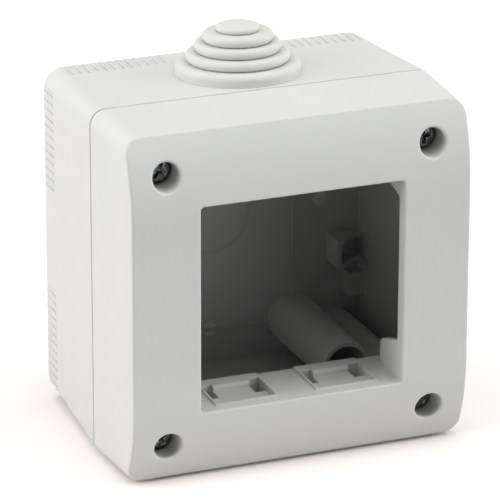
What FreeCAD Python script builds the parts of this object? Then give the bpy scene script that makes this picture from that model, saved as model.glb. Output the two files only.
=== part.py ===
import FreeCAD, Part
import math
import os
import re
import Sketcher

# Surface mount box for two half-width 45 mm modules, sizes in millimetres.
# X runs to the right seen from the front, Y into the wall, Z up.
# The origin is the centre of the flat back face, so the box lies at negative Y.

doc = FreeCAD.newDocument("surface_mount_box")
sheet = doc.addObject("Spreadsheet::Sheet", "sizes")

dimensions = (
    # Outer form: both halves widen towards the parting plane, where they meet.
    ("parting_size", 76.4, "side of the square section at the parting plane"),
    ("rear_size", 73.8, "side of the square section at the wall"),
    ("front_size", 74.8, "side of the square section at the front plane"),
    ("total_depth", 55.6, "wall to front plane"),
    ("base_depth", 33.0, "wall to parting plane"),
    ("corner_radius", 3.4, "outer corner at the parting plane"),
    ("rear_corner", 4.5, "outer corner at the wall"),
    ("front_corner", 3.6, "outer corner at the front plane"),
    ("cavity_corner", 2.4, "inner corner at the parting plane"),
    ("wall", 2.2, "side walls of both halves"),
    ("rear_wall", 2.5, "wall plate of the base"),
    ("front_wall", 2.8, "front plate of the cover"),
    ("crown_flat", 20.0, "half height of the flat middle of the front"),
    ("crown_radius", 35.0, "roll-off of the front above and below the flat"),
    ("front_edge", 0.5, "fillet round the front of the cover"),
    ("rear_edge", 0.5, "chamfer round the back of the base"),
    ("parting_chamfer", 0.15, "edge break on each side of the parting line"),
    ("parting_gap", 0.45, "shadow gap between the rims, so that the cover seats on the bosses"),
    # Tongue of the base that centres the cover.
    ("lip_wall", 1.0, "thickness of the tongue"),
    ("lip_height", 1.6, "reach of the tongue into the cover"),
    ("lip_clearance", 0.15, "gap round the tongue"),
    # Opening for the modules and its latch ledges.
    ("opening_size", 45.0, "side of the square opening"),
    ("opening_corner", 0.8, "corner radius of the opening"),
    ("opening_edge", 0.35, "rounded rim of the opening"),
    ("ledge_reach", 15.8, "front plane to rear end of a ledge"),
    ("ledge_thickness", 3.4, "height of a ledge"),
    ("window_pitch", 22.5, "distance between the two latch windows"),
    ("window_width", 13.1, "width of a latch window"),
    ("window_front", 3.4, "front plane to a window"),
    ("window_depth", 0.9, "depth of a window floor below the ledge"),
    ("bar_front", 11.9, "front plane to a latch bar"),
    ("bar_width", 8.2, "width of a latch bar"),
    ("bar_round", 0.7, "rounded top of a latch bar"),
    ("slot_front", 8.6, "front plane to the slots beside a latch bar"),
    ("slot_rear", 13.2, "front plane to the end of those slots"),
    ("rib_width", 0.5, "width of the rib round a window"),
    ("rib_height", 0.35, "height of that rib and of the latch bar above the ledge"),
    ("cheek_wall", 1.6, "thickness of the corner cheeks"),
    ("cheek_reach", 11.8, "front plane to the rear end of a cheek"),
    ("cheek_front", 9.1, "height of a lower cheek behind the front plate"),
    ("cheek_rear", 6.3, "height of a lower cheek at its rear end"),
    ("cheek_round", 2.0, "rounded rear corner of a cheek"),
    ("upper_cheek", 4.7, "height of an upper cheek behind the front plate"),
    ("upper_cheek_rear", 2.6, "height of an upper cheek at its rear end"),
    # Cover screws with their columns in the cover and bosses in the base.
    ("screw_pitch", 58.6, "side of the square on which the screws stand"),
    ("screw_sink", 6.4, "front plane to the top of a screw head"),
    ("head_size", 5.4, "diameter of a screw head"),
    ("head_height", 2.4, "height of a screw head"),
    ("head_edge", 0.6, "bevel round the top of a screw head"),
    ("head_clearance", 0.35, "gap round a screw head"),
    ("shank_size", 3.0, "diameter of a screw shank"),
    ("shank_length", 25.0, "length under a screw head"),
    ("shank_clearance", 0.2, "gap round a shank in the cover"),
    ("thread_clearance", 0.05, "gap round a shank in its boss"),
    ("pilot_spare", 2.0, "room beyond the end of a screw"),
    ("cross_length", 3.4, "length of the cross recess"),
    ("cross_width", 0.9, "width of the cross recess"),
    ("cross_depth", 1.3, "depth of the cross recess"),
    ("column_wall", 1.4, "wall of a screw column"),
    ("column_edge", 0.45, "rounded rim of a screw hole in the front"),
    ("boss_wall", 2.2, "wall of a screw boss"),
    # Two tubes through which the box is screwed to the wall.
    ("tube_across", 19.4, "distance of a tube from the middle, sideways"),
    ("tube_up", 26.9, "distance of a tube from the middle, in height"),
    ("tube_bore", 8.9, "inner diameter of a tube"),
    ("tube_wall", 0.9, "wall of a tube at its front end"),
    ("tube_draft", 1.1, "draft of a tube in degrees"),
    ("tube_reach", 33.0, "wall to the front end of a tube"),
    ("fixing_hole", 4.6, "wall screw hole at the bottom of a tube"),
    # Inner side of the wall plate.
    ("mark_size", 3.5, "diameter of the round marks"),
    ("mark_across", 25.7, "distance of the side marks from the middle"),
    ("mark_up", 27.0, "distance of the upper and lower mark from the middle"),
    ("mark_depth", 0.3, "depth of the marks"),
    ("knockout_size", 18.4, "diameter of the knock-out ring"),
    ("knockout_groove", 0.6, "width of the ring groove"),
    ("knockout_depth", 0.15, "depth of the ring groove"),
    ("bead_width", 0.7, "width of the raised beads between the tubes"),
    ("bead_height", 0.4, "height of those beads"),
    # Clip holder beside the right wall and the stop block under it.
    ("holder_left", 27.6, "inner face of the holder, from the middle"),
    ("holder_top", -8.0, "top of the holder"),
    ("holder_height", 6.5, "height of the holder"),
    ("holder_reach", 8.6, "wall to the front of the holder"),
    ("holder_wall", 1.0, "wall of the holder"),
    ("holder_lip", 1.7, "straight front edge of the holder's flanges"),
    ("holder_drop", 3.2, "slope of the flanges behind their front edge"),
    ("stop_width", 3.2, "reach of the stop block from the side wall"),
    ("stop_height", 5.6, "height of the stop block"),
    ("stop_gap", 2.4, "gap between holder and stop block"),
    ("stop_reach", 6.4, "wall to the front of the stop block"),
    # Grip grooves along the rear edges.
    ("grip_first", 12.0, "first groove from the middle of a side"),
    ("grip_pitch", 1.9, "distance between grooves"),
    ("grip_count", 12, "grooves in a group"),
    ("grip_width", 1.1, "width of a groove"),
    ("grip_depth", 0.05, "depth of a groove at the wall"),
    ("grip_length", 7.2, "length of a groove"),
    # Cable membrane in the top wall.
    ("grommet_back", 18.9, "wall to the middle of the cable hole"),
    ("tier_one", 26.7, "diameter of the lowest tier"),
    ("tier_two", 22.2, "diameter of the second tier"),
    ("tier_three", 18.5, "diameter of the third tier"),
    ("tier_four", 15.2, "diameter of the fourth tier"),
    ("tier_five", 9.3, "diameter of the top tier"),
    ("first_rise", 2.6, "height of the lowest tier"),
    ("tier_rise", 2.1, "height of each of the next three tiers"),
    ("top_rise", 1.3, "height of the top tier at its rim"),
    ("top_dome", 0.35, "rise of the rounded top"),
    ("membrane", 0.9, "wall of the membrane between two tiers"),
    ("neck_size", 21.0, "diameter of the neck in the wall"),
    ("neck_clearance", 0.2, "gap round the neck"),
    ("flange_size", 24.6, "diameter of the inner flange"),
    ("flange_height", 1.4, "thickness of the inner flange"),
)
names = {name for name, number, note in dimensions}
for row, (name, number, note) in enumerate(dimensions, start=1):
    sheet.set(f"A{row}", name)
    sheet.set(f"B{row}", str(number))
    sheet.set(f"C{row}", note)
    sheet.setAlias(f"B{row}", name)
doc.recompute()


def bound(text):
    """Write a formula of dimension names as an expression on the sheet."""
    def qualify(word):
        return f"sizes.{word[0]}" if word[0] in names else word[0]

    return re.sub(r"[a-z]\w*", qualify, text)


def value(text):
    return float(sheet.evalExpression(bound(text)))


def bind(item, prop, text):
    item.setExpression(prop, bound(text))


# Sketches, drawn on the planes through the origin of their own body

def new_body(label):
    body = doc.addObject("PartDesign::Body", label)
    body.Label = label
    return body


def new_sketch(body, name, plane, offset=("0", "0", "0")):
    """Start a sketch on an origin plane, moved by offset along its own axes."""
    sketch = body.newObject("Sketcher::SketchObject", name)
    support = next(item for item in body.Origin.OriginFeatures if item.Role == plane)
    sketch.AttachmentSupport = (support, "")
    sketch.MapMode = "FlatFace"
    for axis, text in zip("xyz", offset):
        if text != "0":
            bind(sketch, f"AttachmentOffset.Base.{axis}", text)
    return sketch


def pin_point(sketch, curve, end, across, up):
    """Tie one end of a curve to its two coordinates."""
    for kind, text, axis in (("DistanceX", across, -2), ("DistanceY", up, -1)):
        if text == "0":
            sketch.addConstraint(Sketcher.Constraint("PointOnObject", curve, end, axis))
        else:
            index = sketch.addConstraint(Sketcher.Constraint(kind, -1, 1, curve, end, value(text)))
            bind(sketch, f"Constraints[{index}]", text)


def arc_between(start, end, radius):
    """Short arc between two points, to the left of the chord where radius is negative."""
    chord = end - start
    half = chord.Length / 2
    rise = abs(radius) - (radius ** 2 - half ** 2) ** 0.5
    side = FreeCAD.Vector(chord.y, -chord.x, 0).normalize()
    middle = (start + end) / 2 + side * rise * (1 if radius > 0 else -1)
    return Part.Arc(start, middle, end)


def add_profile(sketch, corners):
    """Closed outline: each corner is (across, up) or (across, up, radius of the arc that follows)."""
    points = [FreeCAD.Vector(value(corner[0]), value(corner[1]), 0) for corner in corners]
    first = sketch.GeometryCount
    count = len(corners)
    for index, corner in enumerate(corners):
        start = points[index]
        end = points[(index + 1) % count]
        if len(corner) == 3:
            sketch.addGeometry(arc_between(start, end, value(corner[2])), False)
        else:
            sketch.addGeometry(Part.LineSegment(start, end), False)
    for index, corner in enumerate(corners):
        curve = first + index
        follower = first + (index + 1) % count
        turns_back = len(corner) == 3 and value(corner[2]) < 0
        head, tail = (2, 1) if turns_back else (1, 2)
        next_corner = corners[(index + 1) % count]
        next_back = len(next_corner) == 3 and value(next_corner[2]) < 0
        sketch.addConstraint(Sketcher.Constraint("Coincident", curve, tail, follower, 2 if next_back else 1))
        pin_point(sketch, curve, head, corner[0], corner[1])
        if len(corner) == 3:
            radius = corner[2].lstrip("-")
            number = sketch.addConstraint(Sketcher.Constraint("Radius", curve, value(radius)))
            bind(sketch, f"Constraints[{number}]", radius)


def add_rectangle(sketch, left, bottom, right, top):
    add_profile(sketch, ((left, bottom), (right, bottom), (right, top), (left, top)))


def add_centred_rectangle(sketch, width, height):
    add_rectangle(sketch, f"-({width}) / 2", f"-({height}) / 2", f"({width}) / 2", f"({height}) / 2")


def add_rounded_square(sketch, side, radius):
    far = f"({side}) / 2"
    near = f"({side}) / 2 - ({radius})"
    add_profile(sketch, (
        (f"-({near})", f"-{far}"), (near, f"-{far}", radius),
        (far, f"-({near})"), (far, near, radius),
        (near, far), (f"-({near})", far, radius),
        (f"-{far}", near), (f"-{far}", f"-({near})", radius),
    ))


def add_circle(sketch, across, up, diameter):
    centre = FreeCAD.Vector(value(across), value(up), 0)
    size = value(diameter)
    curve = sketch.addGeometry(Part.Circle(centre, FreeCAD.Vector(0, 0, 1), size / 2), False)
    pin_point(sketch, curve, 3, across, up)
    index = sketch.addConstraint(Sketcher.Constraint("Diameter", curve, size))
    bind(sketch, f"Constraints[{index}]", diameter)


def add_screw_circles(sketch, diameter):
    """One circle on each of the four screw axes."""
    for across in ("screw_pitch / 2", "-screw_pitch / 2"):
        for up in ("screw_pitch / 2", "-screw_pitch / 2"):
            add_circle(sketch, across, up, diameter)


# Features, each built on the sketch or edges that it is given

def extrude(kind, sketch, length, reverse=False, taper=None, midplane=False):
    """Pad or Pocket a sketch and check that it changes the body as meant."""
    body = sketch.getParentGeoFeatureGroup()
    doc.recompute()
    before = body.Shape.Volume if body.Tip and not body.Shape.isNull() else 0
    feature = body.newObject(f"PartDesign::{kind}", f"{sketch.Name}_{kind.lower()}")
    feature.Profile = sketch
    bind(feature, "Length", length)
    feature.Reversed = reverse
    feature.Midplane = midplane
    if taper:
        bind(feature, "TaperAngle", taper)
    doc.recompute()
    grown = body.Shape.Volume - before
    if grown * (1 if kind == "Pad" else -1) <= 0:
        raise RuntimeError(f"{feature.Name} changes the volume by {grown}")
    return feature


def loft(body, name, outlines):
    """Straight-sided solid through rounded squares: (name, side, corner radius, depth from the wall)."""
    sketches = []
    for outline, side, radius, depth in outlines:
        sketch = new_sketch(body, outline, "XZ_Plane", ("0", "0", depth))
        add_rounded_square(sketch, side, radius)
        sketches.append(sketch)
    doc.recompute()
    feature = body.newObject("PartDesign::AdditiveLoft", name)
    feature.Profile = sketches[0]
    feature.Sections = sketches[1:]
    feature.Ruled = True
    doc.recompute()
    if body.Shape.isNull() or body.Shape.Volume <= 0:
        raise RuntimeError(f"{name} has no volume")


def fillet(body, name, radius, wanted):
    """Round the edges of a body that the wanted test picks."""
    base = body.Tip
    picked = []
    for index, edge in enumerate(base.Shape.Edges, start=1):
        if wanted(edge):
            picked.append(f"Edge{index}")
    feature = body.newObject("PartDesign::Fillet", name)
    feature.Base = (base, picked)
    bind(feature, "Radius", radius)
    doc.recompute()
    return feature


def mirror(body, name, originals, plane):
    feature = body.newObject("PartDesign::Mirrored", name)
    feature.Originals = originals
    support = next(item for item in body.Origin.OriginFeatures if item.Role == plane)
    feature.MirrorPlane = (support, [""])
    body.Tip = feature
    doc.recompute()
    return feature


def origin_axis(body, role):
    return next(item for item in body.Origin.OriginFeatures if item.Role == role)


def middle_of(edge):
    return edge.valueAt((edge.FirstParameter + edge.LastParameter) / 2)


def lies_at_depth(edge, depth):
    """True where the whole edge is in the plane at that distance from the wall."""
    return all(abs(point.y + depth) < tolerance for point in edge.discretize(edge_samples))


tolerance = 1e-4
rim_tolerance = 0.01
edge_samples = 5
base_draft = "atan((parting_size - rear_size) / 2 / base_depth)"
broken_size = "parting_size - 2 * parting_chamfer"
broken_corner = "corner_radius - parting_chamfer"
column_bore = "head_size + 2 * head_clearance"
pilot_bore = "shank_size + 2 * thread_clearance"


def build_rear_box():
    body = new_body("rear_box")
    parting = ("0", "0", "base_depth")

    widening = "(parting_size - rear_size) / base_depth"
    loft(body, "base_form", (
        ("base_rim", broken_size, broken_corner, "base_depth"),
        ("base_outline", f"parting_size - {widening} * parting_chamfer", "corner_radius",
         "base_depth - parting_chamfer"),
        ("base_back", f"rear_size + {widening} * rear_edge", "rear_corner", "rear_edge"),
        ("base_back_rim", "rear_size - 2 * rear_edge", "rear_corner - rear_edge", "0"),
    ))

    cavity = new_sketch(body, "base_cavity", "XZ_Plane", parting)
    add_rounded_square(cavity, "parting_size - 2 * wall", "cavity_corner")
    extrude("Pocket", cavity, "base_depth - rear_wall", taper=f"-{base_draft}")

    lip = new_sketch(body, "lip", "XZ_Plane", parting)
    add_rounded_square(lip, "parting_size - 2 * (wall - lip_wall)", "cavity_corner + lip_wall")
    add_rounded_square(lip, "parting_size - 2 * wall", "cavity_corner")
    extrude("Pad", lip, "lip_height")

    beads = new_sketch(body, "beads", "XZ_Plane", ("0", "0", "rear_wall + bead_height"))
    add_centred_rectangle(beads, "2 * tube_across + bead_width", "2 * tube_up + bead_width")
    add_centred_rectangle(beads, "2 * tube_across - bead_width", "2 * tube_up - bead_width")
    extrude("Pad", beads, "bead_height + rear_wall / 2", reverse=True)

    tube_places = (("tube_across", "-tube_up"), ("-tube_across", "tube_up"))
    tubes = new_sketch(body, "tubes", "XZ_Plane", ("0", "0", "tube_reach"))
    bores = new_sketch(body, "tube_bores", "XZ_Plane", ("0", "0", "tube_reach"))
    holes = new_sketch(body, "fixing_holes", "XZ_Plane", ("0", "0", "tube_reach"))
    for across, up in tube_places:
        add_circle(tubes, across, up, "tube_bore + 2 * tube_wall")
        add_circle(bores, across, up, "tube_bore")
        add_circle(holes, across, up, "fixing_hole")
    extrude("Pad", tubes, "tube_reach - rear_wall / 2", reverse=True, taper="tube_draft * 1 deg")

    bosses = new_sketch(body, "bosses", "XZ_Plane", parting)
    add_screw_circles(bosses, f"{pilot_bore} + 2 * boss_wall")
    extrude("Pad", bosses, "base_depth - rear_wall / 2", reverse=True)

    extrude("Pocket", bores, "tube_reach - rear_wall")
    extrude("Pocket", holes, "tube_reach + rear_wall")
    pilots = new_sketch(body, "pilots", "XZ_Plane", parting)
    add_screw_circles(pilots, pilot_bore)
    screw_end = "screw_sink + head_height + shank_length"
    extrude("Pocket", pilots, f"{screw_end} + pilot_spare - (total_depth - base_depth)")

    inside = "rear_size / 2 - wall"
    holder = new_sketch(body, "holder", "XZ_Plane", ("0", "0", "holder_reach"))
    add_profile(holder, (
        ("holder_left", "holder_top - holder_height"), (f"{inside} + wall / 2", "holder_top - holder_height"),
        (f"{inside} + wall / 2", "holder_top - holder_height + holder_wall"),
        ("holder_left + holder_wall", "holder_top - holder_height + holder_wall"),
        ("holder_left + holder_wall", "holder_top - holder_wall"),
        (f"{inside} + wall / 2", "holder_top - holder_wall"), (f"{inside} + wall / 2", "holder_top"),
        ("holder_left", "holder_top"),
    ))
    extrude("Pad", holder, "holder_reach - rear_wall / 2", reverse=True)
    slope = new_sketch(body, "holder_slope", "XY_Plane", ("0", "0", "holder_top + holder_wall"))
    add_profile(slope, (
        ("holder_left + holder_lip", "-holder_reach"),
        (inside, "-holder_reach"),
        (inside, "-(holder_reach - holder_drop)"),
        ("holder_left + holder_lip + holder_drop", "-(holder_reach - holder_drop)"),
    ))
    extrude("Pocket", slope, "holder_height + 2 * holder_wall")
    stop = new_sketch(body, "stop_block", "XZ_Plane", ("0", "0", "stop_reach"))
    add_rectangle(stop, f"{inside} - stop_width", "holder_top - holder_height - stop_gap - stop_height",
                  f"{inside} + wall / 2", "holder_top - holder_height - stop_gap")
    extrude("Pad", stop, "stop_reach - rear_wall / 2", reverse=True)

    marks = new_sketch(body, "marks", "XZ_Plane", ("0", "0", "rear_wall"))
    for across, up in (("mark_across", "0"), ("-mark_across", "0"), ("0", "mark_up"), ("0", "-mark_up")):
        add_circle(marks, across, up, "mark_size")
    extrude("Pocket", marks, "mark_depth")
    knockout = new_sketch(body, "knockout", "XZ_Plane", ("0", "0", "rear_wall"))
    add_circle(knockout, "0", "0", "knockout_size")
    add_circle(knockout, "0", "0", "knockout_size - 2 * knockout_groove")
    extrude("Pocket", knockout, "knockout_depth")

    cable_hole = new_sketch(body, "cable_hole", "XY_Plane", ("0", "0", "parting_size / 2"))
    add_circle(cable_hole, "0", "-grommet_back", "neck_size + 2 * neck_clearance")
    extrude("Pocket", cable_hole, "(parting_size - rear_size) / 2 + 2 * wall")

    # One groove, repeated along a side, to the other half of it and round the four sides.
    groove = new_sketch(body, "grip_groove", "XZ_Plane")
    add_rectangle(groove, "rear_size / 2 - grip_depth", "grip_first - grip_width / 2",
                  "parting_size / 2 + grip_depth", "grip_first + grip_width / 2")
    cut = extrude("Pocket", groove, "grip_length", reverse=True)
    row = body.newObject("PartDesign::LinearPattern", "grip_row")
    row.Direction = (origin_axis(body, "Z_Axis"), [""])
    bind(row, "Length", "grip_pitch * (grip_count - 1)")
    bind(row, "Occurrences", "grip_count")
    half = body.newObject("PartDesign::Mirrored", "grip_half")
    half.MirrorPlane = (origin_axis(body, "XY_Plane"), [""])
    sides = body.newObject("PartDesign::PolarPattern", "grip_sides")
    sides.Axis = (origin_axis(body, "Y_Axis"), [""])
    sides.Angle = 360
    sides.Occurrences = 4
    grips = body.newObject("PartDesign::MultiTransform", "grips")
    grips.Originals = [cut]
    grips.Transformations = [row, half, sides]
    body.Tip = grips
    doc.recompute()
    return body


def build_front_cover():
    body = new_body("front_cover")
    parting = ("0", "0", "base_depth")
    front = ("0", "0", "total_depth")
    cover_depth = "total_depth - base_depth"

    loft(body, "cover_form", (
        ("cover_rim", broken_size, broken_corner, "base_depth + parting_gap"),
        ("cover_outline", "parting_size", "corner_radius", "base_depth + parting_gap + parting_chamfer"),
        ("cover_face", "front_size", "front_corner", "total_depth"),
    ))

    # The cavity follows the crown of the front, one plate thickness behind it.
    half = "front_size / 2 - wall"
    inner_radius = "(crown_radius - front_wall)"
    inner_rise = f"({inner_radius} - sqrt({inner_radius} ^ 2 - ({half} - crown_flat) ^ 2))"
    face = "-(total_depth - front_wall)"
    cavity = new_sketch(body, "cover_cavity", "YZ_Plane")
    add_profile(cavity, (
        ("-base_depth", half), (f"{face} + {inner_rise}", half, inner_radius),
        (face, "crown_flat"), (face, "-crown_flat", inner_radius),
        (f"{face} + {inner_rise}", f"-({half})"), ("-base_depth", f"-({half})"),
    ))
    extrude("Pocket", cavity, f"2 * ({half})", midplane=True)
    rebate = new_sketch(body, "lip_rebate", "XZ_Plane", parting)
    add_rounded_square(rebate, "parting_size - 2 * (wall - lip_wall - lip_clearance)",
                       "cavity_corner + lip_wall + lip_clearance")
    extrude("Pocket", rebate, "lip_height + lip_clearance", reverse=True)

    columns = new_sketch(body, "columns", "XZ_Plane", parting)
    add_screw_circles(columns, f"{column_bore} + 2 * column_wall")
    extrude("Pad", columns, cover_depth)

    # The roll-off above and below the flat middle, cut right across the cover.
    beyond = "parting_size / 2"
    rise = f"(crown_radius - sqrt(crown_radius ^ 2 - ({beyond} - crown_flat) ^ 2))"
    crown = new_sketch(body, "crown", "YZ_Plane")
    clear = "-(total_depth + front_wall)"
    add_profile(crown, (
        ("-total_depth", "crown_flat", "-crown_radius"), (f"-total_depth + {rise}", beyond),
        (clear, beyond), (clear, "crown_flat"),
    ))
    add_profile(crown, (
        (f"-total_depth + {rise}", f"-({beyond})", "-crown_radius"), ("-total_depth", "-crown_flat"),
        (clear, "-crown_flat"), (clear, f"-({beyond})"),
    ))
    extrude("Pocket", crown, "2 * parting_size", midplane=True)

    middle_depth = value("(total_depth + base_depth) / 2")
    outside = value(f"{half} + wall / 8")

    def on_front_rim(edge):
        point = middle_of(edge)
        behind = any(vertex.Point.y > -middle_depth for vertex in edge.Vertexes)
        return not behind and max(abs(point.x), abs(point.z)) > outside

    fillet(body, "cover_front_edge", "front_edge", on_front_rim)

    opening = new_sketch(body, "opening", "XZ_Plane", front)
    add_rounded_square(opening, "opening_size", "opening_corner")
    extrude("Pocket", opening, "2 * front_wall")
    reach = value("opening_size / 2") + tolerance
    fillet(body, "opening_rim", "opening_edge",
           lambda edge: lies_at_depth(edge, value("total_depth"))
           and max(abs(middle_of(edge).x), abs(middle_of(edge).z)) < reach)

    build_ledges(body)
    build_cheeks(body)

    counterbores = new_sketch(body, "counterbores", "XZ_Plane", front)
    add_screw_circles(counterbores, column_bore)
    extrude("Pocket", counterbores, "screw_sink + head_height")
    shanks = new_sketch(body, "shank_holes", "XZ_Plane", front)
    add_screw_circles(shanks, "shank_size + 2 * shank_clearance")
    extrude("Pocket", shanks, f"{cover_depth} + wall")

    bore_radius = value(column_bore) / 2
    axis_at = value("screw_pitch / 2")
    head_top = value("total_depth - screw_sink")

    def on_screw_rim(edge):
        points = edge.discretize(edge_samples)
        reaches = [math.hypot(abs(point.x) - axis_at, abs(point.z) - axis_at) for point in points]
        round_bore = all(abs(reach - bore_radius) < rim_tolerance for reach in reaches)
        return round_bore and all(point.y < -head_top for point in points)

    fillet(body, "screw_rims", "column_edge", on_screw_rim)
    return body


def build_ledges(body):
    """Latch ledge under the opening with two windows, and its mirror image above."""
    side = "opening_size / 2"
    ledge = new_sketch(body, "ledge", "XZ_Plane", ("0", "0", "total_depth - ledge_reach"))
    add_rectangle(ledge, f"-({side} + cheek_wall)", f"-({side} + ledge_thickness)",
                  f"{side} + cheek_wall", f"-{side}")
    shelf = extrude("Pad", ledge, "ledge_reach - front_wall / 2")

    top = ("0", "0", f"-{side}")
    ribs = new_sketch(body, "window_ribs", "XY_Plane", top)
    tops = new_sketch(body, "bar_plates", "XY_Plane", top)
    floors = new_sketch(body, "window_floors", "XY_Plane", top)
    slots = new_sketch(body, "window_slots", "XY_Plane", top)
    ledge_end = "-(total_depth - ledge_reach)"
    slot_end = "-(total_depth - slot_rear)"
    bar_face = "-(total_depth - bar_front)"
    front_edge = "-(total_depth - window_front)"
    for centre in ("-window_pitch / 2", "window_pitch / 2"):
        left = f"{centre} - window_width / 2"
        right = f"{centre} + window_width / 2"
        add_profile(ribs, (
            (left, ledge_end), (f"{left} - rib_width", ledge_end),
            (f"{left} - rib_width", f"{front_edge} - rib_width"),
            (f"{right} + rib_width", f"{front_edge} - rib_width"), (f"{right} + rib_width", ledge_end),
            (right, ledge_end), (right, front_edge), (left, front_edge),
        ))
        bar_left = f"{centre} - bar_width / 2"
        bar_right = f"{centre} + bar_width / 2"
        add_profile(tops, (
            (bar_left, bar_face), (bar_right, bar_face), (bar_right, slot_end), (right, slot_end),
            (right, ledge_end), (left, ledge_end), (left, slot_end), (bar_left, slot_end),
        ))
        add_rectangle(floors, left, front_edge, right, bar_face)
        add_rectangle(slots, left, "-(total_depth - slot_front)", bar_left, slot_end)
        add_rectangle(slots, bar_right, "-(total_depth - slot_front)", right, slot_end)
    frames = extrude("Pad", ribs, "rib_height")
    plates = extrude("Pad", tops, "rib_height")
    recess = extrude("Pocket", floors, "window_depth")
    through = extrude("Pocket", slots, "2 * ledge_thickness")

    bar_depth = value("total_depth - bar_front")
    top_level = value(f"rib_height - {side}")
    bars = fillet(body, "bar_tops", "bar_round",
                  lambda edge: lies_at_depth(edge, bar_depth)
                  and abs(middle_of(edge).z - top_level) < tolerance
                  and edge.Length < value("bar_width") + tolerance)
    mirror(body, "upper_ledge", [shelf, frames, plates, recess, through, bars], "XY_Plane")


def build_cheeks(body):
    """Upright cheeks at the four corners of the opening, behind the front plate."""
    side = "opening_size / 2"
    start = "-(total_depth - front_wall / 2)"
    end = "-(total_depth - cheek_reach)"
    pads = []
    for name, sign, front_height, rear_height in (
            ("lower_cheek", "-", "cheek_front", "cheek_rear"),
            ("upper_cheek_web", "", "upper_cheek", "upper_cheek_rear")):
        inward = "+" if sign else "-"
        bend = "cheek_round" if sign else "-cheek_round"
        root = f"{sign}({side} + ledge_thickness / 2)"
        cheek = new_sketch(body, name, "YZ_Plane", ("0", "0", side))
        corners = [
            (start, root), (end, root),
            (end, f"{sign}{side} {inward} ({rear_height} - cheek_round)", bend),
            (f"{end} - cheek_round", f"{sign}{side} {inward} {rear_height}"),
            (start, f"{sign}{side} {inward} {front_height}"),
        ]
        add_profile(cheek, corners)
        pads.append(extrude("Pad", cheek, "cheek_wall"))
    mirror(body, "left_cheeks", pads, "YZ_Plane")


def build_grommet():
    body = new_body("cable_grommet")
    tiers = ("tier_one", "tier_two", "tier_three", "tier_four", "tier_five")
    profile = new_sketch(body, "grommet_profile", "XZ_Plane")
    rises = ("first_rise", "tier_rise", "tier_rise", "tier_rise", "top_rise")
    # Outer side from the inner flange up through the neck and the tiers, whose rims are full rounds.
    # Only the lowest tier has a straight foot, which sits on the wall.
    corners = [
        ("neck_size / 2 - membrane", "-(wall + flange_height)"),
        ("flange_size / 2", "-(wall + flange_height)"), ("flange_size / 2", "-wall"),
        ("neck_size / 2", "-wall"), ("neck_size / 2", "0"),
    ]
    inner_side = [("neck_size / 2 - membrane", "first_rise - membrane")]
    foot = "0"
    for tier, rise in zip(tiers, rises):
        top = f"{foot} + {rise}"
        core = f"({tier} - {rise}) / 2"
        if tier == tiers[0]:
            corners.append((f"{tier} / 2", foot))
        else:
            corners.append((core, foot, f"{rise} / 2"))
            inner_side.append((f"{core} - membrane", f"{foot} - membrane"))
            inner_side.append((f"{core} - membrane", f"{top} - membrane"))
        corners.append((f"{tier} / 2", f"{foot} + {rise} / 2", f"{rise} / 2"))
        corners.append((core, top))
        foot = top
    corners[-1] += (f"(({core}) ^ 2 + top_dome ^ 2) / (2 * top_dome)",)
    corners.append(("0", f"{top} + top_dome"))
    # Inner side, one membrane thickness behind the joints between the tiers.
    corners.append(("0", f"{top} - membrane"))
    corners.extend(reversed(inner_side))
    add_profile(profile, corners)
    spin = body.newObject("PartDesign::Revolution", "grommet_spin")
    spin.Profile = profile
    spin.ReferenceAxis = (profile, ["V_Axis"])
    spin.Angle = 360
    doc.recompute()

    # Seated square on the drafted top wall.
    body.Placement = FreeCAD.Placement(FreeCAD.Vector(), FreeCAD.Rotation(FreeCAD.Vector(-1, 0, 0), 1))
    bind(body, "Placement.Base.y", "-grommet_back")
    widening = "(parting_size - rear_size) / 2 * grommet_back / base_depth"
    bind(body, "Placement.Base.z", f"rear_size / 2 + {widening}")
    bind(body, "Placement.Rotation.Angle", base_draft)
    return body


def build_screws():
    body = new_body("cover_screws")
    axis_at = "screw_pitch / 2"
    head_top = "-(total_depth - screw_sink)"
    profile = new_sketch(body, "screw_profile", "YZ_Plane", ("0", axis_at, axis_at))
    add_profile(profile, (
        (head_top, "0"), (f"{head_top} + head_height + shank_length", "0"),
        (f"{head_top} + head_height + shank_length", "shank_size / 2"),
        (f"{head_top} + head_height", "shank_size / 2"), (f"{head_top} + head_height", "head_size / 2"),
        (f"{head_top} + head_edge", "head_size / 2"), (head_top, "head_size / 2 - head_edge"),
    ))
    turned = body.newObject("PartDesign::Revolution", "screw_turned")
    turned.Profile = profile
    turned.ReferenceAxis = (profile, ["H_Axis"])
    turned.Angle = 360
    doc.recompute()

    cross = new_sketch(body, "cross", "XZ_Plane", (axis_at, axis_at, "total_depth - screw_sink"))
    long, short = "cross_length / 2", "cross_width / 2"
    add_profile(cross, (
        (long, f"-{short}"), (long, short), (short, short), (short, long), (f"-{short}", long),
        (f"-{short}", short), (f"-{long}", short), (f"-{long}", f"-{short}"), (f"-{short}", f"-{short}"),
        (f"-{short}", f"-{long}"), (short, f"-{long}"), (short, f"-{short}"),
    ))
    recess = extrude("Pocket", cross, "cross_depth")
    ring = body.newObject("PartDesign::PolarPattern", "screw_ring")
    ring.Originals = [turned, recess]
    ring.Axis = (origin_axis(body, "Y_Axis"), [""])
    ring.Angle = 360
    ring.Occurrences = 4
    body.Tip = ring
    doc.recompute()
    return body


pieces = [build_rear_box(), build_front_cover(), build_grommet(), build_screws()]
doc.recompute()

for item in doc.Objects:
    if {"Invalid", "Error"} & set(item.State):
        raise RuntimeError(f"{item.Label} failed: {item.State}")
for piece in pieces:
    if piece.Shape.isNull() or not piece.Shape.isValid():
        raise RuntimeError(f"{piece.Label} has no valid shape")

os.makedirs("parts", exist_ok=True)
for piece in pieces:
    piece.Shape.exportStep(f"parts/{piece.Label}.step")
    print(piece.Label, len(piece.Shape.Solids), "solids", round(piece.Shape.Volume, 1), "mm3")
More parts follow.
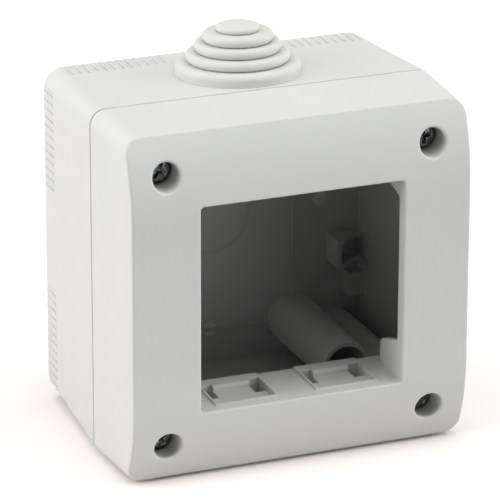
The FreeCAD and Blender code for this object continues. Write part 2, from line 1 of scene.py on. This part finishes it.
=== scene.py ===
import math
import bpy
import numpy as np
from mathutils import Matrix, Vector


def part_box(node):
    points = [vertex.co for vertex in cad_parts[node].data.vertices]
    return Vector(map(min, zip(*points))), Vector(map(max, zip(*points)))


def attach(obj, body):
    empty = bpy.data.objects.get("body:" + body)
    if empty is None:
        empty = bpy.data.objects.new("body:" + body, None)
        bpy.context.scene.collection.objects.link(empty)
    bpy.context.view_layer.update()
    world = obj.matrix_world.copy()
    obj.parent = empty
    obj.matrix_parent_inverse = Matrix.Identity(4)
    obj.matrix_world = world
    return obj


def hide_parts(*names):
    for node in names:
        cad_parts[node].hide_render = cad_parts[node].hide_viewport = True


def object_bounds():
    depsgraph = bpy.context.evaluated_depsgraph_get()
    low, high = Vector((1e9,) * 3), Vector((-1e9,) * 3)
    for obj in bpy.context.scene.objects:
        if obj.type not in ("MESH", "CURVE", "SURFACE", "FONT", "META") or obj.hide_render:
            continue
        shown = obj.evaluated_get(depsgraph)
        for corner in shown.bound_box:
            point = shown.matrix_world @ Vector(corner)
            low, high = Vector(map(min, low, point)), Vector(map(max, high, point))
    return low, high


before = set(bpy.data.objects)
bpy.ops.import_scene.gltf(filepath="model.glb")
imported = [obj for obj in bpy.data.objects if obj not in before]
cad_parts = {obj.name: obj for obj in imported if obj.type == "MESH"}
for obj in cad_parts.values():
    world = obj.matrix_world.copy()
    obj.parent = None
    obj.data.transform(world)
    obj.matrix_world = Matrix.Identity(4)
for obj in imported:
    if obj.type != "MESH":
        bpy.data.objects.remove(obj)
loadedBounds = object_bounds()
scene = bpy.context.scene
print("frame loaded:", sorted(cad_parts))


# one shader node; a socket given as value is linked, anything else is set
def addNode(tree, kind, inputs=None, **settings):
    node = tree.nodes.new(kind)
    for name, value in settings.items():
        setattr(node, name, value)
    for name, value in (inputs or {}).items():
        if isinstance(value, bpy.types.NodeSocket):
            tree.links.new(value, node.inputs[name])
        else:
            node.inputs[name].default_value = value
    return node


def addMath(tree, operation, *values):
    return addNode(tree, "ShaderNodeMath", dict(enumerate(values)), operation=operation).outputs[0]


def addNoise(tree, place, scale, detail):
    return addNode(tree, "ShaderNodeTexNoise", {"Vector": place, "Scale": scale, "Detail": detail}).outputs[0]


def addColourMix(tree, factor, first, second):
    mix = addNode(tree, "ShaderNodeMix", {"Factor": factor}, data_type="RGBA")
    mix.inputs["A"].default_value = (*first, 1)
    mix.inputs["B"].default_value = (*second, 1)
    return mix.outputs["Result"]


def startMaterial(name):
    material = bpy.data.materials.new(name)
    material.use_nodes = True
    tree = material.node_tree
    tree.nodes.clear()
    return material, tree


grainLook = {"cloudScale": 70.0, "cloudDetail": 4.0, "speckScale": 2600.0, "speckDetail": 1.0,
             "speckShare": 0.4, "grainDetail": 2.0, "roughShare": 0.8, "bumpDepth": 0.00003, "edgeSamples": 6}


# eroded mould texture: fine grain in the normal, slow clouds in colour and roughness
def makeGrainGroup(look):
    group = bpy.data.node_groups.new("mouldGrain", "ShaderNodeTree")
    sockets = (("Colour", "INPUT", "NodeSocketColor"), ("Clouding", "INPUT", "NodeSocketFloat"),
               ("Grain Scale", "INPUT", "NodeSocketFloat"), ("Grain Strength", "INPUT", "NodeSocketFloat"),
               ("Roughness", "INPUT", "NodeSocketFloat"), ("Edge Radius", "INPUT", "NodeSocketFloat"),
               ("Colour", "OUTPUT", "NodeSocketColor"), ("Roughness", "OUTPUT", "NodeSocketFloat"),
               ("Normal", "OUTPUT", "NodeSocketVector"))
    for name, side, kind in sockets:
        group.interface.new_socket(name=name, in_out=side, socket_type=kind)
    start = addNode(group, "NodeGroupInput").outputs
    place = addNode(group, "ShaderNodeTexCoord").outputs["Object"]
    clouds = addNoise(group, place, look["cloudScale"], look["cloudDetail"])
    specks = addNoise(group, place, look["speckScale"], look["speckDetail"])
    grain = addNoise(group, place, start["Grain Scale"], look["grainDetail"])
    # level = 1 + clouding * ((clouds - 0.5) + share * (specks - 0.5))
    mixed = addMath(group, "ADD", clouds, addMath(group, "MULTIPLY", specks, look["speckShare"]))
    centred = addMath(group, "SUBTRACT", mixed, 0.5 + 0.5 * look["speckShare"])
    swing = addMath(group, "MULTIPLY", centred, start["Clouding"])
    level = addMath(group, "ADD", swing, 1.0)
    tinted = addNode(group, "ShaderNodeVectorMath", {0: start["Colour"], "Scale": level}, operation="SCALE")
    rough = addMath(group, "ADD", start["Roughness"], addMath(group, "MULTIPLY", swing, look["roughShare"]))
    rounded = addNode(group, "ShaderNodeBevel", {"Radius": start["Edge Radius"]}, samples=look["edgeSamples"])
    bump = addNode(group, "ShaderNodeBump", {
        "Strength": start["Grain Strength"], "Distance": look["bumpDepth"], "Height": grain,
        "Normal": rounded.outputs[0]})
    addNode(group, "NodeGroupOutput", {
        "Colour": tinted.outputs[0], "Roughness": rough, "Normal": bump.outputs[0]})
    return group


grainGroup = makeGrainGroup(grainLook)


# matt moulded plastic: group for the surface, shader here; colour makes a socket where one tone isn't enough
def makePlastic(name, look, colour=None):
    material, tree = startMaterial(name)
    grain = addNode(tree, "ShaderNodeGroup", node_tree=grainGroup)
    for socket in ("Clouding", "Grain Scale", "Grain Strength", "Roughness", "Edge Radius"):
        grain.inputs[socket].default_value = look[socket]
    if colour is None:
        grain.inputs["Colour"].default_value = (*look["colour"], 1)
    else:
        tree.links.new(colour(tree), grain.inputs["Colour"])
    shader = addNode(tree, "ShaderNodeBsdfPrincipled", {
        "Base Color": grain.outputs["Colour"], "Roughness": grain.outputs["Roughness"],
        "Normal": grain.outputs["Normal"], "IOR": look["ior"], "Specular IOR Level": look["specular"]})
    addNode(tree, "ShaderNodeOutputMaterial", {"Surface": shader.outputs[0]})
    return material


def dressNode(node, material):
    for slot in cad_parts[node].material_slots:
        slot.material = material


plasticLook = {"colour": (0.600, 0.609, 0.594), "Clouding": 0.05, "Grain Scale": 3200.0,
               "Grain Strength": 0.25, "Roughness": 0.58, "Edge Radius": 0.0003, "ior": 1.5, "specular": 0.16}
# inner side of the wall plate: depth is the middle of the band in y that is coloured, span half its height
markLook = {"across": 0.0257, "up": 0.0270, "radius": 0.00175, "soft": 0.00015,
            "depth": -0.0020, "span": 0.0007, "colour": (0.93, 0.82, 0.75)}


# warm round marks left, right, above and below the middle of the wall plate
def markColour(tree):
    place = addNode(tree, "ShaderNodeTexCoord").outputs["Object"]
    axes = addNode(tree, "ShaderNodeSeparateXYZ", {"Vector": place}).outputs
    across = addMath(tree, "ABSOLUTE", axes["X"])
    up = addMath(tree, "ABSOLUTE", axes["Z"])
    flat = addNode(tree, "ShaderNodeCombineXYZ", {"X": across, "Y": up}).outputs[0]
    gaps = [addNode(tree, "ShaderNodeVectorMath", {0: flat, 1: spot}, operation="DISTANCE").outputs["Value"]
            for spot in ((markLook["across"], 0, 0), (0, markLook["up"], 0))]
    disc = addNode(tree, "ShaderNodeMapRange", {
        "Value": addMath(tree, "MINIMUM", *gaps), "From Min": markLook["radius"],
        "From Max": markLook["radius"] - markLook["soft"]}).outputs[0]
    plate = addMath(tree, "COMPARE", axes["Y"], markLook["depth"], markLook["span"])
    mask = addMath(tree, "MULTIPLY", disc, plate)
    return addColourMix(tree, mask, plasticLook["colour"], markLook["colour"])


dressNode("rear_box", makePlastic("housingPlastic", plasticLook, markColour))
dressNode("front_cover", makePlastic("coverPlastic", plasticLook))
membraneLook = {"colour": (0.610, 0.612, 0.585), "Clouding": 0.06, "Grain Scale": 2400.0,
                "Grain Strength": 0.18, "Roughness": 0.66, "Edge Radius": 0.0001,
                "ior": 1.45, "specular": 0.16}
dressNode("cable_grommet", makePlastic("membraneRubber", membraneLook))
print("plastic and membrane dressed")


# pieces x rows x columns x 3 points as quads, columns closed into a ring, first and last row capped
def addRings(name, rings):
    count, rows, columns = rings.shape[:3]
    index = np.arange(count * rows * columns).reshape(count, rows, columns)
    after = np.roll(index, -1, axis=2)
    quads = np.stack((index[:, :-1], index[:, 1:], after[:, 1:], after[:, :-1]), axis=-1).reshape(-1, 4)
    caps = index[:, 0].tolist() + index[:, -1, ::-1].tolist()
    mesh = bpy.data.meshes.new(name)
    mesh.from_pydata(rings.reshape(-1, 3).tolist(), [], quads.tolist() + caps)
    mesh.polygons.foreach_set("use_smooth", np.ones(len(mesh.polygons), bool))
    mesh.update()
    piece = bpy.data.objects.new(name, mesh)
    scene.collection.objects.link(piece)
    return piece


screwShape = {"head": 0.0027, "height": 0.0024, "edge": 0.0007, "crown": 0.00015, "shank": 0.0015,
              "tip": 0.0010, "point": 0.0008, "slotLength": 0.0019, "slotWidth": 0.00046, "slotDepth": 0.0013,
              "endSlope": 1.3, "sideSlope": 7.0, "turns": (22, 64, 41, 8),
              "middle": 0.00002, "faceRows": 44, "edgeRows": 8, "columns": 168}


# head y(r) = crown * (r / head)^2 with a rounded edge, minus a cross recess of four tapered wings;
# wing depth = min((length - |p|) * endSlope, (width - |q|) * sideSlope), the deeper of two, up to slotDepth
def makeScrews(shape):
    low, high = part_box("cover_screws")
    reach = high.y - low.y
    flat = shape["head"] - shape["edge"]
    face = np.linspace(shape["middle"], flat, shape["faceRows"])
    bend = np.linspace(0, math.pi / 2, shape["edgeRows"] + 1)[1:]
    domed = shape["crown"] * (face / shape["head"]) ** 2
    radius = np.concatenate((face, flat + shape["edge"] * np.sin(bend),
                             [shape["head"], shape["shank"], shape["shank"], shape["tip"]]))
    depth = np.concatenate((domed, domed[-1] + shape["edge"] * (1 - np.cos(bend)),
                            [shape["height"], shape["height"], reach - shape["point"], reach]))
    angle = np.linspace(0, 2 * math.pi, shape["columns"], endpoint=False)
    p = radius[:, None] * np.cos(angle)
    q = radius[:, None] * np.sin(angle)

    def wing(along, beside):
        return np.minimum((shape["slotLength"] - np.abs(along)) * shape["endSlope"],
                          (shape["slotWidth"] - np.abs(beside)) * shape["sideSlope"])

    recess = np.clip(np.maximum(wing(p, q), wing(q, p)), 0, shape["slotDepth"])
    recess[shape["faceRows"]:] = 0
    sunk = low.y + depth[:, None] + recess
    corners = [(x, z) for x in (low.x + shape["head"], high.x - shape["head"])
               for z in (low.z + shape["head"], high.z - shape["head"])]
    rings = np.stack([np.stack((x + p * np.cos(turn) - q * np.sin(turn), sunk,
                                z + p * np.sin(turn) + q * np.cos(turn)), axis=-1)
                      for (x, z), turn in zip(corners, np.radians(shape["turns"]))])
    return addRings("screwSet", rings)


steelLook = {"colour": (0.26, 0.265, 0.27), "roughness": 0.06, "swing": 0.12,
             "dents": 1300.0, "dentDetail": 3.0, "depth": 0.00022, "strength": 0.8}


# dark plated steel, tumbled: dents in the normal that glint, and a roughness that follows them
def makeSteel(look):
    material, tree = startMaterial("platedSteel")
    place = addNode(tree, "ShaderNodeTexCoord").outputs["Object"]
    dents = addNoise(tree, place, look["dents"], look["dentDetail"])
    rough = addMath(tree, "ADD", addMath(tree, "MULTIPLY", dents, look["swing"]), look["roughness"])
    bump = addNode(tree, "ShaderNodeBump", {
        "Strength": look["strength"], "Distance": look["depth"], "Height": dents})
    shader = addNode(tree, "ShaderNodeBsdfPrincipled", {
        "Base Color": (*look["colour"], 1), "Metallic": 1.0, "Roughness": rough, "Normal": bump.outputs[0]})
    addNode(tree, "ShaderNodeOutputMaterial", {"Surface": shader.outputs[0]})
    return material


screws = makeScrews(screwShape)
screws.data.materials.append(makeSteel(steelLook))
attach(screws, "root")
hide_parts("cover_screws")
print("screws built:", len(screws.data.polygons), "faces")


# colour lights the box, seen is what the picture shows
floorShape = {"across": 0.6, "near": -0.10, "far": 1.4, "drop": 0.00005,
              "colour": (0.77, 0.74, 0.73), "seen": (0.97, 0.935, 0.925)}


# rays to which floor and background are shown as they look, so that metal mirrors them too
def seenRays(tree):
    rays = addNode(tree, "ShaderNodeLightPath").outputs
    mirrored = addMath(tree, "MAXIMUM", rays["Is Glossy Ray"], rays["Is Transmission Ray"])
    return addMath(tree, "MAXIMUM", rays["Is Camera Ray"], mirrored)


# sheet under the lowest point of the box, which ends a little in front of it and leaves its inside dark
def makeFloor(shape):
    level = loadedBounds[0].z - shape["drop"]
    across, near, far = shape["across"], shape["near"], shape["far"]
    corners = [(-across, near, level), (across, near, level), (across, far, level), (-across, far, level)]
    mesh = bpy.data.meshes.new("floor")
    mesh.from_pydata(corners, [], [(0, 1, 2, 3)])
    floor = bpy.data.objects.new("floor", mesh)
    scene.collection.objects.link(floor)
    material, tree = startMaterial("paleFloor")
    tone = addColourMix(tree, seenRays(tree), shape["colour"], shape["seen"])
    sheet = addNode(tree, "ShaderNodeBsdfDiffuse", {"Color": tone})
    addNode(tree, "ShaderNodeOutputMaterial", {"Surface": sheet.outputs[0]})
    floor.data.materials.append(material)


makeFloor(floorShape)


warm = (1.0, 0.995, 0.985)
rosy = (1.0, 0.99, 0.985)
cool = (0.99, 1.0, 1.0)
# the dark side lies in front of the opening; shaded lights fade out there from dimFrom to dimTo
skyLook = {"base": 0.02, "dark": (-0.26, -0.96, 0.10), "dimFrom": 0.50, "dimTo": 0.74}
skyLights = {
    "overhead": {"from": (0.0, 0.0, 1.0), "strength": 1.94, "power": 5.0, "shaded": True, "tint": warm},
    "overFront": {"from": (0.1, -0.42, 0.90), "strength": 1.0, "power": 5.0, "shaded": True, "tint": warm},
    "left": {"from": (-0.995, 0.0, 0.1), "strength": 4.2, "power": 5.0, "shaded": True, "tint": rosy},
    "overLeft": {"from": (-0.70, -0.1, 0.707), "strength": 0.6, "power": 5.0, "shaded": True, "tint": warm},
    "right": {"from": (0.86, -0.49, 0.15), "strength": 3.55, "power": 5.0, "shaded": True, "tint": cool},
    "inside": {"from": (0.28, -0.96, 0.02), "strength": 1.45, "power": 40.0, "shaded": False, "tint": cool},
    "below": {"from": (0.45, -0.65, -0.61), "strength": 0.85, "power": 8.0, "shaded": False, "tint": cool},
}


# soft tent: radiance = base + sum of strength * max(way . from, 0)^power * tint, dim on the dark side,
# and plain white where it is seen past the floor
def makeSky(look, lights):
    world = bpy.data.worlds.new("tent")
    world.use_nodes = True
    scene.world = world
    tree = world.node_tree
    tree.nodes.clear()
    way = addNode(tree, "ShaderNodeTexCoord").outputs["Generated"]

    def facing(side):
        node = addNode(tree, "ShaderNodeVectorMath", {0: way, 1: side}, operation="DOT_PRODUCT")
        return node.outputs["Value"]

    dimmed = addNode(tree, "ShaderNodeMapRange", {
        "Value": facing(look["dark"]), "From Min": look["dimFrom"], "From Max": look["dimTo"],
        "To Min": 1.0, "To Max": 0.0}, interpolation_type="SMOOTHSTEP").outputs[0]
    total = (look["base"],) * 3
    for light in lights.values():
        lobe = addMath(tree, "POWER", addMath(tree, "MAXIMUM", facing(light["from"]), 0.0), light["power"])
        level = addMath(tree, "MULTIPLY", lobe, light["strength"])
        if light["shaded"]:
            level = addMath(tree, "MULTIPLY", level, dimmed)
        glow = addNode(tree, "ShaderNodeVectorMath", {0: light["tint"], "Scale": level}, operation="SCALE")
        summed = addNode(tree, "ShaderNodeVectorMath", {0: glow.outputs[0], 1: total}, operation="ADD")
        total = summed.outputs[0]
    lit = addNode(tree, "ShaderNodeBackground", {"Color": total, "Strength": 1.0})
    white = addNode(tree, "ShaderNodeBackground", {"Color": (1, 1, 1, 1), "Strength": 1.0})
    mix = addNode(tree, "ShaderNodeMixShader", {0: seenRays(tree), 1: lit.outputs[0], 2: white.outputs[0]})
    addNode(tree, "ShaderNodeOutputWorld", {"Surface": mix.outputs[0]})


makeSky(skyLook, skyLights)
scene.view_settings.view_transform = "Standard"
print("floor and light set")


# heading, tilt and roll in degrees
cameraFit = {"heading": 21.785, "tilt": 20.826, "roll": 0.132, "target": (0, -0.026, 0), "aside": 0.000052,
             "above": -0.000136, "distance": 0.846743, "lens": 287.712, "sensor": 36, "clip": (0.01, 50)}


# the view of the photo, with the target moved by aside and above in the picture plane
def makeCamera(fit):
    heading, tilt, roll = (math.radians(fit[name]) for name in ("heading", "tilt", "roll"))
    ahead = math.cos(tilt)
    forward = Vector((math.sin(heading) * ahead, math.cos(heading) * ahead, -math.sin(tilt)))
    level = Vector((math.cos(heading), -math.sin(heading), 0))
    upright = level.cross(forward)
    right = level * math.cos(roll) + upright * math.sin(roll)
    up = upright * math.cos(roll) - level * math.sin(roll)
    place = Vector(fit["target"]) - right * fit["aside"] - up * fit["above"] - forward * fit["distance"]
    data = bpy.data.cameras.new("camera")
    data.sensor_width = fit["sensor"]
    data.lens = fit["lens"]
    data.clip_start, data.clip_end = fit["clip"]
    camera = bpy.data.objects.new("camera", data)
    camera.matrix_world = Matrix.Translation(place) @ Matrix((right, up, -forward)).transposed().to_4x4()
    scene.collection.objects.link(camera)
    scene.camera = camera


makeCamera(cameraFit)
